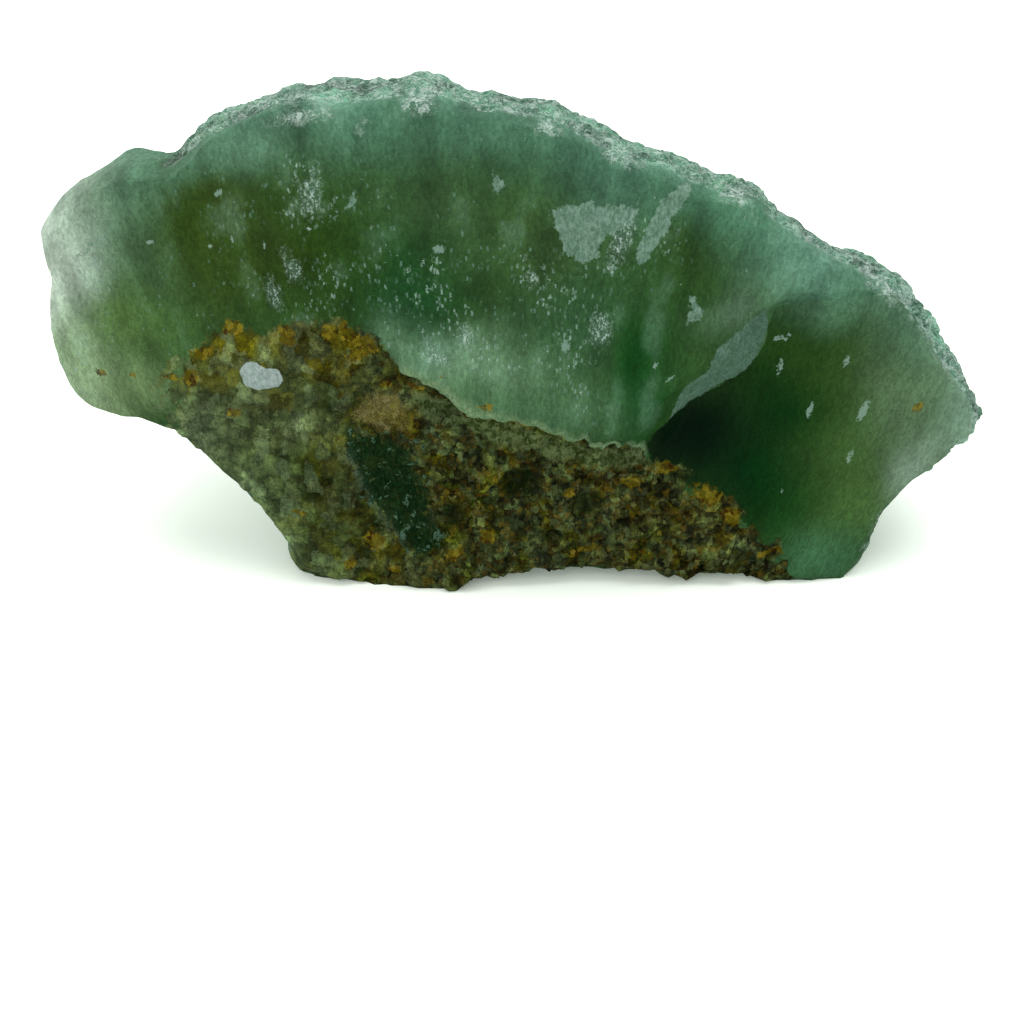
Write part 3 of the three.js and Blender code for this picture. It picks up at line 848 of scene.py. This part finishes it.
chip_layers = [
    (
        chip_highlight,
        add_node(nodes, "Mix", {
            0: add_node(nodes, "MapRange", [chip_highlight_tone, 0.36, 0.66], **SMOOTH), 6: paint("#557562"),
            7: paint("#809d8c"),
        }, **COLOURS),
    ),
    (small_chip_highlight, paint("#86a294")),
    (bruise_veil, paint("#6a8a7a")),
    (
        add_node(nodes, "Math", [
            add_node(nodes, "MapRange", [bruise_depth, -0.1, 0.9], **SMOOTH), bruise_cracks,
        ], operation="MULTIPLY"),
        paint("#b4c9bf"),
    ),
]
for share, layer in chip_layers:
    body = add_node(nodes, "Mix", {0: share, 6: body, 7: layer}, **COLOURS)

# %% [markdown]
# The step's face is one clean cleavage plane, so it has an even grey green. The margin of the lip
# is thin, so light comes through it and makes it pale.

# %% Fluorite material: step and lip
facet_share = add_node(nodes, "MapRange", [
    add_node(nodes, "Math", [ragged, 0.6, mask["facet"]], operation="MULTIPLY_ADD"), -0.05, 0.12,
], **SMOOTH)
facet_tone = add_node(nodes, "Math", [
    ragged, 0.1,
    add_node(nodes, "Math", [
        grit, 0.4, add_node(nodes, "Math", [grain, 0.6], operation="MULTIPLY"),
    ], operation="MULTIPLY_ADD"),
], operation="MULTIPLY_ADD")
facet_share = add_node(nodes, "Math", [
    facet_share, add_node(nodes, "Math", [1.0, scoop_share], operation="SUBTRACT"),
], operation="MULTIPLY")
facet_colour = add_node(nodes, "Mix", {
    0: add_node(nodes, "MapRange", [facet_tone, 0.38, 0.64], **SMOOTH), 6: paint("#42604c"),
    7: paint("#628070"),
}, **COLOURS)
body = add_node(nodes, "Mix", {0: facet_share, 6: body, 7: facet_colour}, **COLOURS)
margin = add_node(nodes, "MapRange", [
    add_node(nodes, "Math", [ragged, 0.25, mask["lip_margin"]], operation="MULTIPLY_ADD"), 0.25,
    0.95, 0.0, 0.75,
], **SMOOTH)
margin_colour = add_node(nodes, "Mix", {
    0: add_node(nodes, "MapRange", [grain, 0.4, 0.62], **SMOOTH), 6: paint("#62835c"),
    7: paint("#8fa580"),
}, **COLOURS)
body = add_node(nodes, "Mix", {0: margin, 6: body, 7: margin_colour}, **COLOURS)

# %% [markdown]
# The heart is made of blocks about a millimetre and a half across, and the blocks of grains less
# than half as wide. Each has its own tone, and each is darker towards its edge: painted shade, as
# on a rounded grain. To the left the grains are fine and milky, to the right coarse and dark. Iron
# has stained some of the heart: ochre where there is little, dark brown where there is much.

# %% Fluorite material: granular heart
warp = add_node(nodes, "TexNoise", {"Vector": in_mm, "Scale": 1.1, "Detail": 3.0})
warped = add_node(nodes, "VectorMath", {0: in_mm, 1: warp.outputs["Color"]}, operation="ADD")
grain_cells = add_node(nodes, "TexVoronoi", {"Vector": warped, "Scale": 1.5}, distance="CHEBYCHEV")
lot = add_node(nodes, "SeparateColor", {"Color": grain_cells.outputs["Color"]})
coarse = mask["coarse"]
heart_colour = tint["heart_tint"]
tall = add_node(nodes, "Mapping", {"Vector": warped, "Scale": (1, 1, 0.7)})
blocks = add_node(nodes, "TexVoronoi", {"Vector": tall, "Scale": 0.62}, distance="CHEBYCHEV")
block_lot = add_node(nodes, "SeparateColor", {"Color": blocks.outputs["Color"]})
fine = add_node(nodes, "Math", [1.0, coarse], operation="SUBTRACT")
yellow = add_node(nodes, "Math", [
    add_node(nodes, "MapRange", [block_lot.outputs["Red"], 0.4, 0.7], **SMOOTH), mask["iron"],
], operation="MULTIPLY")
heart_colour = add_node(nodes, "Mix", {0: yellow, 6: heart_colour, 7: paint("#5c5606")}, **COLOURS)
milky = add_node(nodes, "Math", [
    add_node(nodes, "MapRange", [block_lot.outputs["Blue"], 0.5, 0.8], **SMOOTH),
    add_node(nodes, "Math", [fine, 0.2, 0.12], operation="MULTIPLY_ADD"),
], operation="MULTIPLY")
heart_colour = add_node(nodes, "Mix", {0: milky, 6: heart_colour, 7: paint("#6c7f5e")}, **COLOURS)
block_tone = add_node(nodes, "Math", [
    add_node(nodes, "MapRange", [block_lot.outputs["Green"], 0.0, 1.0, -0.3, 0.32], **SMOOTH), 1.0,
], operation="ADD")
heart_colour = add_node(nodes, "Mix", {0: 1.0, 6: heart_colour, 7: block_tone}, **TONED)
# Painted shade: each block is lighter in its middle and darker towards the gaps at its edge.
block_edge_shade = add_node(nodes, "MapRange", [
    add_node(nodes, "Math", [
        blocks.outputs["Distance"],
        add_node(nodes, "Math", [grit, 0.5, -0.25], operation="MULTIPLY_ADD"),
    ], operation="ADD"),
    0.35, 0.7, 1.1, 0.65,
], **SMOOTH)
heart_colour = add_node(nodes, "Mix", {0: 1.0, 6: heart_colour, 7: block_edge_shade}, **TONED)
brown_grains = add_node(nodes, "Math", [
    add_node(nodes, "MapRange", [lot.outputs["Red"], 0.6, 0.8, 0.0, 0.6], **SMOOTH), coarse,
], operation="MULTIPLY")
grey_grains = add_node(nodes, "Math", [
    add_node(nodes, "MapRange", [lot.outputs["Blue"], 0.75, 0.9, 0.0, 0.3], **SMOOTH), coarse,
], operation="MULTIPLY")
heart_colour = add_node(
    nodes, "Mix", {0: brown_grains, 6: heart_colour, 7: paint("#45360a")}, **COLOURS
)
heart_colour = add_node(
    nodes, "Mix", {0: grey_grains, 6: heart_colour, 7: paint("#586745")}, **COLOURS
)
# Each grain's own tone, plus painted shade: lighter at its middle, darker at its edge.
grain_tone_and_shade = add_node(nodes, "Math", [lot.outputs["Green"], 0.45], operation="SUBTRACT")
grain_tone_and_shade = add_node(nodes, "Math", [
    add_node(nodes, "Math", [0.5, grain_cells.outputs["Distance"]], operation="SUBTRACT"), 0.6,
    grain_tone_and_shade,
], operation="MULTIPLY_ADD")
grain_tone_and_shade = add_node(nodes, "Math", [
    grain_tone_and_shade, add_node(nodes, "MapRange", [coarse, 0.0, 1.0, 0.25, 1.5], **SMOOTH),
], operation="MULTIPLY")
grain_tone_and_shade = add_node(nodes, "Math", [
    grain_tone_and_shade, add_node(nodes, "MapRange", [coarse, 0.0, 1.0, 1.02, 0.84], **SMOOTH),
], operation="ADD")
heart_colour = add_node(nodes, "Mix", {
    0: 1.0, 6: heart_colour, 7: add_node(nodes, "Math", [grain_tone_and_shade, 0.12], operation="MAXIMUM"),
}, **TONED)
cracks = add_node(
    nodes, "Math", [add_node(nodes, "Math", [ragged, 0.15], operation="ADD")], operation="ABSOLUTE"
)
broad = add_node(
    nodes, "TexNoise", {"Vector": in_mm, "Scale": 0.28, "Detail": 2.0, "Roughness": 0.6}
)
heart_tones = [
    (cracks, 0.0, 0.16, 0.5, 1.0),
    (broad, 0.36, 0.62, 0.7, 1.22),
    (grain, 0.28, 0.72, 0.75, 1.25),
    (grit, 0.3, 0.7, 0.74, 1.28),
]
for tone in heart_tones:
    heart_colour = add_node(nodes, "Mix", {
        0: 1.0, 6: heart_colour, 7: add_node(nodes, "MapRange", tone, **SMOOTH),
    }, **TONED)

# %% [markdown]
# Some patches of the heart differ from the rest: pits darkened with painted shade, a patch of tan
# grains, the strip just under the lip darkened with painted shadow from the lip, a pocket of clear
# dark fluorite with a pale margin, and one large white grain. They are laid one on top of another,
# each through its own ragged share.

# %% Fluorite material: patches of the heart
# Painted shade in the pits.
pit_shade = add_node(nodes, "MapRange", [
    add_node(nodes, "Math", [ragged, 0.6, mask["pits"]], operation="MULTIPLY_ADD"), 0.0, 0.4, 0.0,
    0.55,
], **SMOOTH)
tan_share = add_node(nodes, "MapRange", [
    add_node(nodes, "Math", [mask["tan_patch"], ragged], operation="ADD"), -0.1, 0.9,
], **SMOOTH)
tan_colour = add_node(
    nodes, "Mix", {0: lot.outputs["Blue"], 6: paint("#5c5624"), 7: paint("#897f50")}, **COLOURS
)
tan_share = add_node(nodes, "Math", [
    tan_share, add_node(nodes, "MapRange", [grit, 0.38, 0.62, 0.2, 0.8], **SMOOTH),
], operation="MULTIPLY")
# Painted shadow of the lip on the strip below it, with a grain of its own.
lip_shadow_share = add_node(nodes, "MapRange", [
    add_node(nodes, "Math", [mask["lip_shadow"], ragged], operation="ADD"), -0.1, 0.6, 0.0, 0.75,
], **SMOOTH)
lip_shadow_tone = add_node(nodes, "Math", [lot.outputs["Green"], 0.3, grain], operation="MULTIPLY_ADD")
lip_shadow_colour = add_node(nodes, "Mix", {
    0: add_node(nodes, "MapRange", [lip_shadow_tone, 0.45, 0.85], **SMOOTH), 6: paint("#2c3a10"),
    7: paint("#64754e"),
}, **COLOURS)
margin_share = add_node(nodes, "MapRange", [
    add_node(nodes, "Math", [ragged, 2.0, mask["pocket_margin"]], operation="MULTIPLY_ADD"), -0.2,
    1.0, 0.0, 0.8,
], **SMOOTH)
clear_share = add_node(nodes, "MapRange", [
    add_node(nodes, "Math", [ragged, 3.4, mask["clear_pocket"]], operation="MULTIPLY_ADD"), -0.3,
    0.9, 0.0, 0.9,
], **SMOOTH)
off_wisp = add_node(nodes, "Math", [
    add_node(nodes, "Math", [ragged, 0.35], operation="SUBTRACT"),
], operation="ABSOLUTE")
wisps = add_node(nodes, "MapRange", [off_wisp, 0.14, 0.0, 0.0, 0.8], **SMOOTH)
clear_colour = add_node(nodes, "Mix", {
    0: add_node(nodes, "MapRange", [grain, 0.4, 0.75], **SMOOTH), 6: paint("#001803"),
    7: paint("#0c3316"),
}, **COLOURS)
clear_colour = add_node(nodes, "Mix", {0: wisps, 6: clear_colour, 7: paint("#5c7d68")}, **COLOURS)
grain_share = add_node(nodes, "MapRange", [
    add_node(nodes, "Math", [ragged, 0.2, mask["white_grain"]], operation="MULTIPLY_ADD"), -0.05,
    0.1,
], **SMOOTH)
heart_layers = [
    (pit_shade, paint("#0a1c05")),
    (tan_share, tan_colour),
    (lip_shadow_share, lip_shadow_colour),
    (
        margin_share,
        add_node(nodes, "Mix", {
            0: add_node(nodes, "MapRange", [grain, 0.4, 0.6], **SMOOTH), 6: paint("#465e4c"),
            7: paint("#708670"),
        }, **COLOURS),
    ),
    (clear_share, clear_colour),
    (
        grain_share,
        add_node(nodes, "Mix", {
            0: add_node(nodes, "MapRange", [grain, 0.35, 0.65], **SMOOTH), 6: paint("#879a95"),
            7: paint("#a9b7b4"),
        }, **COLOURS),
    ),
]
for share, layer in heart_layers:
    heart_colour = add_node(nodes, "Mix", {0: share, 6: heart_colour, 7: layer}, **COLOURS)
heart_share_seen = add_node(nodes, "MapRange", [
    add_node(nodes, "Math", [ragged, 2.1, mask["heart"]], operation="MULTIPLY_ADD"), -0.2, 0.7,
], **SMOOTH)
colour = add_node(nodes, "Mix", {0: heart_share_seen, 6: body, 7: heart_colour}, **COLOURS)

# %% [markdown]
# Rust sits in small spots where water came in. Each grain in a spot has its own tone, from dark
# brown to ochre.

# %% Fluorite material: rust
rust_depth = add_node(nodes, "Math", [
    mask["rust"],
    add_node(nodes, "Math", [
        lot.outputs["Red"], 0.4, add_node(nodes, "Math", [ragged, 0.8], operation="MULTIPLY"),
    ], operation="MULTIPLY_ADD"),
], operation="ADD")
rust_share = add_node(nodes, "Math", [
    add_node(nodes, "MapRange", [rust_depth, 0.15, 0.5], **SMOOTH),
    add_node(nodes, "MapRange", [grit, 0.35, 0.55, 0.45, 0.9], **SMOOTH),
], operation="MULTIPLY")
rust_tone = add_node(nodes, "Math", [
    grain, 0.5, add_node(nodes, "Math", [lot.outputs["Blue"], 0.6], operation="MULTIPLY"),
], operation="MULTIPLY_ADD")
rust_colour = add_node(nodes, "Mix", {
    0: add_node(nodes, "MapRange", [rust_tone, 0.3, 0.42], **SMOOTH), 6: paint("#3a1c03"),
    7: paint("#5a4f04"),
}, **COLOURS)
rust_colour = add_node(nodes, "Mix", {
    0: add_node(nodes, "MapRange", [rust_tone, 0.55, 0.8], **SMOOTH), 6: rust_colour,
    7: paint("#82731a"),
}, **COLOURS)
colour = add_node(nodes, "Mix", {0: rust_share, 6: colour, 7: rust_colour}, **COLOURS)

# %% [markdown]
# The crust is a sheet of tiny cubes grown together. Each crystal is clear, but its many faces
# scatter the light, so it looks frosted in places and deep green between them.

# %% Fluorite material: crystal crust
crust_colour = tint["upper_tint"]
crust_tones = [(lot.outputs["Red"], 0.0, 1.0, 0.75, 1.25), (grit, 0.3, 0.7, 0.6, 1.45)]
for tone in crust_tones:
    crust_colour = add_node(nodes, "Mix", {
        0: 1.0, 6: crust_colour, 7: add_node(nodes, "MapRange", tone, **SMOOTH),
    }, **TONED)
frosted = add_node(nodes, "MapRange", [
    add_node(nodes, "Math", [lot.outputs["Green"], 0.6, ragged], operation="MULTIPLY_ADD"), 0.5,
    1.0, 0.0, 0.5,
], **SMOOTH)
crust_colour = add_node(
    nodes, "Mix", {0: frosted, 6: crust_colour, 7: paint("#8aa698")}, **COLOURS
)
crust_share = add_node(nodes, "MapRange", [
    add_node(nodes, "Math", [ragged, 0.35, mask["growth"]], operation="MULTIPLY_ADD"), 0.4, 0.7,
], **SMOOTH)
colour = add_node(nodes, "Mix", {0: crust_share, 6: colour, 7: crust_colour}, **COLOURS)
frost_depth = add_node(nodes, "MapRange", [
    add_node(nodes, "Math", [ragged, 0.6, mask["frost"]], operation="MULTIPLY_ADD"), 0.0, 0.8,
], **SMOOTH)
frost_grain = add_node(nodes, "MapRange", [
    add_node(nodes, "Math", [lot.outputs["Blue"], 0.35, grit], operation="MULTIPLY_ADD"), 0.55,
    0.9, 0.05, 0.95,
], **SMOOTH)
colour = add_node(nodes, "Mix", {
    0: add_node(nodes, "Math", [frost_depth, frost_grain], operation="MULTIPLY"), 6: colour,
    7: paint("#b4c8be"),
}, **COLOURS)

# %% [markdown]
# Bump gives what is finer than the mesh: the fine grain of the broken faces and of the crust.

# %% Fluorite material: bump and shader
bump_inputs = {
    "Height": add_node(nodes, "Math", [grit, 0.5, grain], operation="MULTIPLY_ADD"),
    "Strength": 0.4, "Distance": 0.15 * MM,
}
bump = add_node(nodes, "Bump", bump_inputs)
shader = add_node(nodes, "BsdfPrincipled", {
    "Base Color": colour,
    "Roughness": add_node(nodes, "MapRange", [heart_share_seen, 0.0, 1.0, 0.45, 0.6], **SMOOTH),
    "IOR": 1.434, "Specular IOR Level": 0.03, "Normal": bump,
})
add_node(nodes, "OutputMaterial", {"Surface": shader})
stone_mesh.materials.append(fluorite)
print("fluorite:", len(nodes.nodes), "shader nodes")

# %% [markdown]
# The stone stands for the CAD solid, which stays in the physics model as what things bump into.

# %% Hand over
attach(stone, "root")
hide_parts("fluorite")
